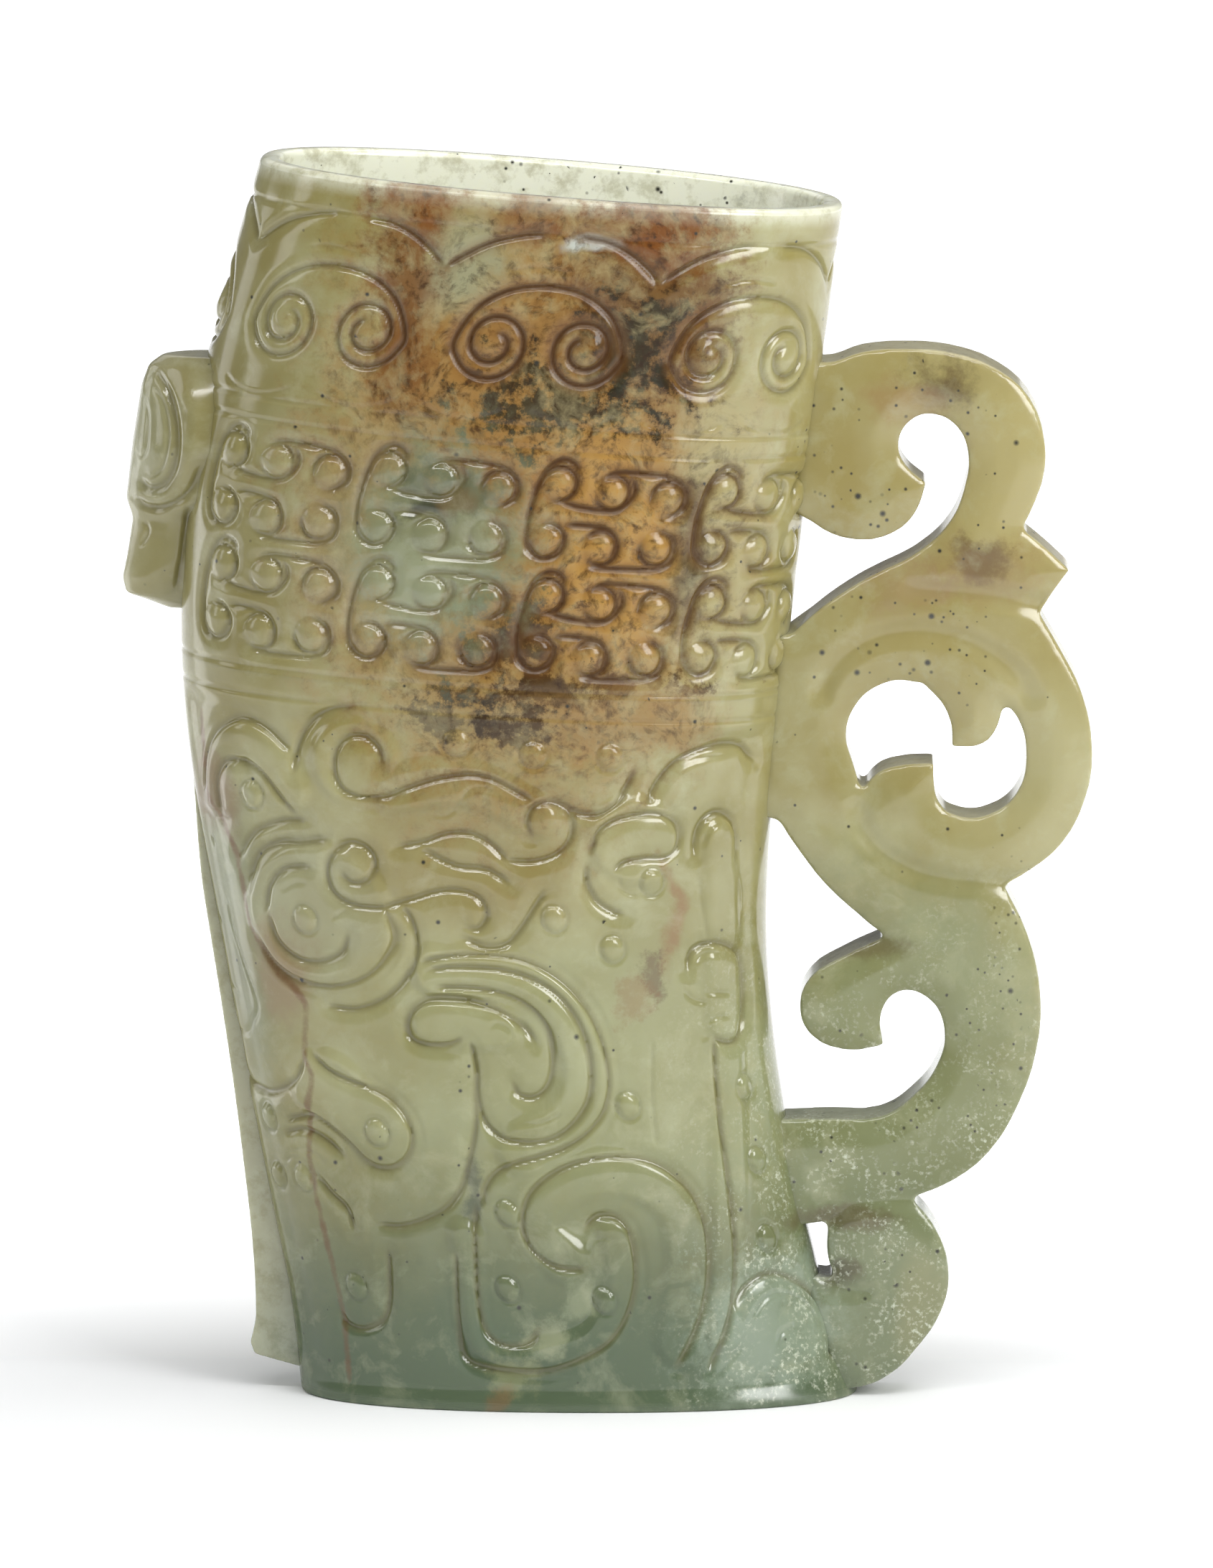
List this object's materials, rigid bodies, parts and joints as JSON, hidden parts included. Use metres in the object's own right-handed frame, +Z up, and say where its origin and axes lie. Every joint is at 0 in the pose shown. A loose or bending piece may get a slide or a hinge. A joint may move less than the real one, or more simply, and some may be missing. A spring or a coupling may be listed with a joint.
{
  "type": "jade rhyton",
  "caption": "Flattened horn-shaped jade cup on an oval foot, with carved bands, a small beast's head on its front and an openwork scroll handle behind",
  "frame": {"origin": "centre of the oval foot face, on the table", "axes": "+X towards the handle, -Y out of the carved face that the picture shows, +Z up from the foot to the mouth"},
  "size_m": [0.1078, 0.0364, 0.1393],
  "materials": {
    "celadon_jade": "glossy polish",
    "russet_jade": "glossy polish with brown stain",
    "grey_jade": "glossy polish"
  },
  "bodies": {
    "root": {"rim_lip": "celadon_jade", "scroll_band": "russet_jade", "comma_band": "russet_jade", "mask_zone": "celadon_jade", "foot_block": "grey_jade", "beast_head": "celadon_jade", "beast_muzzle": "celadon_jade", "front_fin": "celadon_jade", "handle_crest": "celadon_jade", "handle_spur": "celadon_jade", "handle_ring": "celadon_jade", "ring_upper_tongue": "celadon_jade", "ring_lower_tongue": "celadon_jade", "handle_limb": "celadon_jade", "limb_curl": "celadon_jade", "tail_curl": "grey_jade"}
  },
  "joints": []
}
